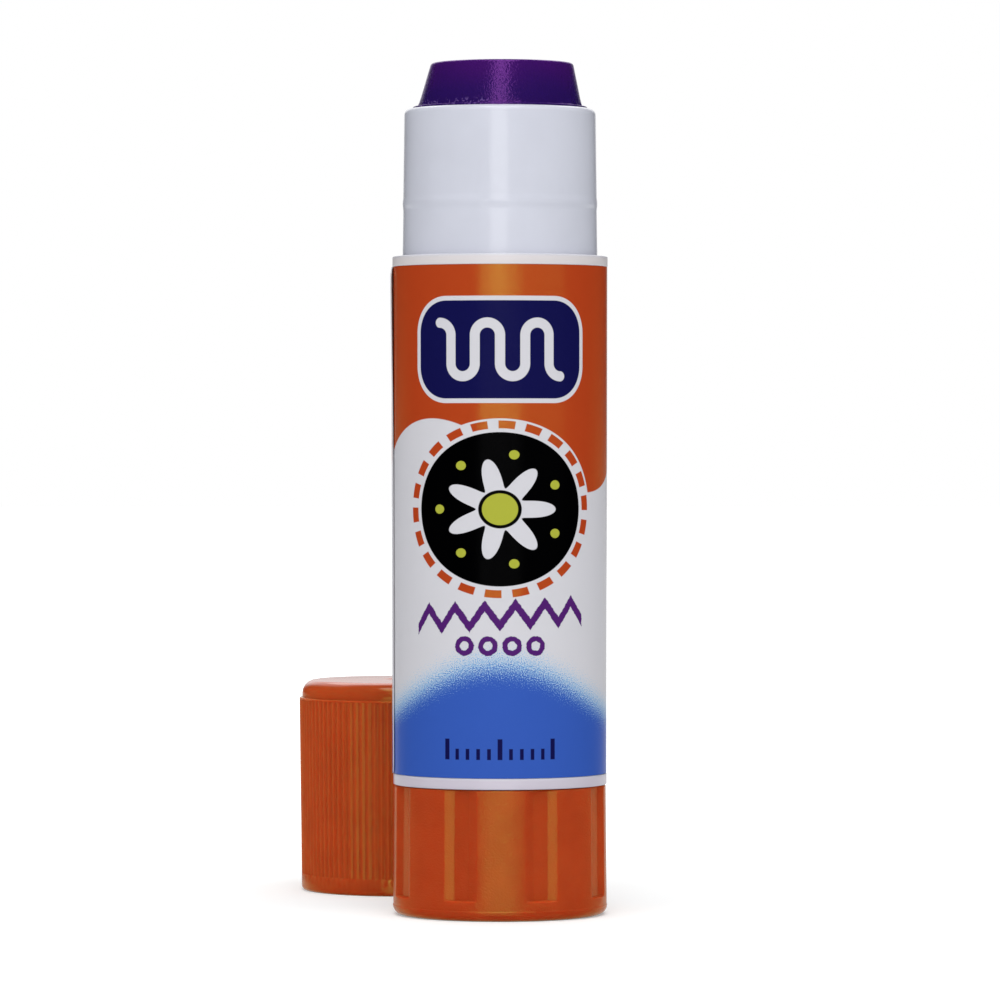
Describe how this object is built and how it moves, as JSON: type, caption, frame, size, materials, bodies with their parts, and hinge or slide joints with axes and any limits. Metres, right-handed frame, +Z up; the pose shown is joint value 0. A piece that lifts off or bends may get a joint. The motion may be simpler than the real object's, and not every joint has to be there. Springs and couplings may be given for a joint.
{
  "type": "twist-up glue stick",
  "caption": "Small twist-up glue stick: keyed carrier on a screw spindle turned by a base knob, in a tubular barrel with a wrapped label, and a ribbed push-on cap.",
  "frame": {"origin": "middle of the flat land under the knob, on the stick's axis, on the surface the stick stands on", "axes": "+Z up the stick's axis from the knob to the glue's tip; -Y faces the viewer of the picture; +X is to the viewer's right; the cap stands towards -X and +Y"},
  "size_m": [0.0297, 0.0492, 0.079],
  "materials": {
    "white_plastic": "smooth moulded polypropylene, semi-gloss, cool white",
    "printed_film": "printed film label, gloss",
    "orange_plastic": "moulded polypropylene, fine satin, red orange",
    "natural_plastic": "unpigmented moulded polypropylene",
    "glue": "smooth solid glue, dark purple, slightly waxy"
  },
  "bodies": {
    "barrel": {"barrel": "white_plastic", "label": "printed_film"},
    "knob": {"knob": "orange_plastic", "spindle": "orange_plastic"},
    "carrier": {"carrier": "natural_plastic", "glue_core": "glue"},
    "cap": {"cap": "orange_plastic"}
  },
  "joints": [
    {"name": "knob_twist", "type": "hinge", "parent": "barrel", "child": "knob", "pos_m": [0, 0, 0], "axis": [0, 0, 1], "range_deg": [-585, 2160]},
    {"name": "carrier_slide", "type": "slide", "parent": "barrel", "child": "carrier", "axis": [0, 0, 1], "range_m": [-0.0066, 0.0241]},
    {"name": "cap_lift", "type": "slide", "parent": "barrel", "child": "cap", "axis": [0, 0, 1], "range_m": [0, 0.085]}
  ],
  "couplings": [
    {"joint": "carrier_slide", "follows": "knob_twist", "m_per_rad": 0.00063662}
  ]
}
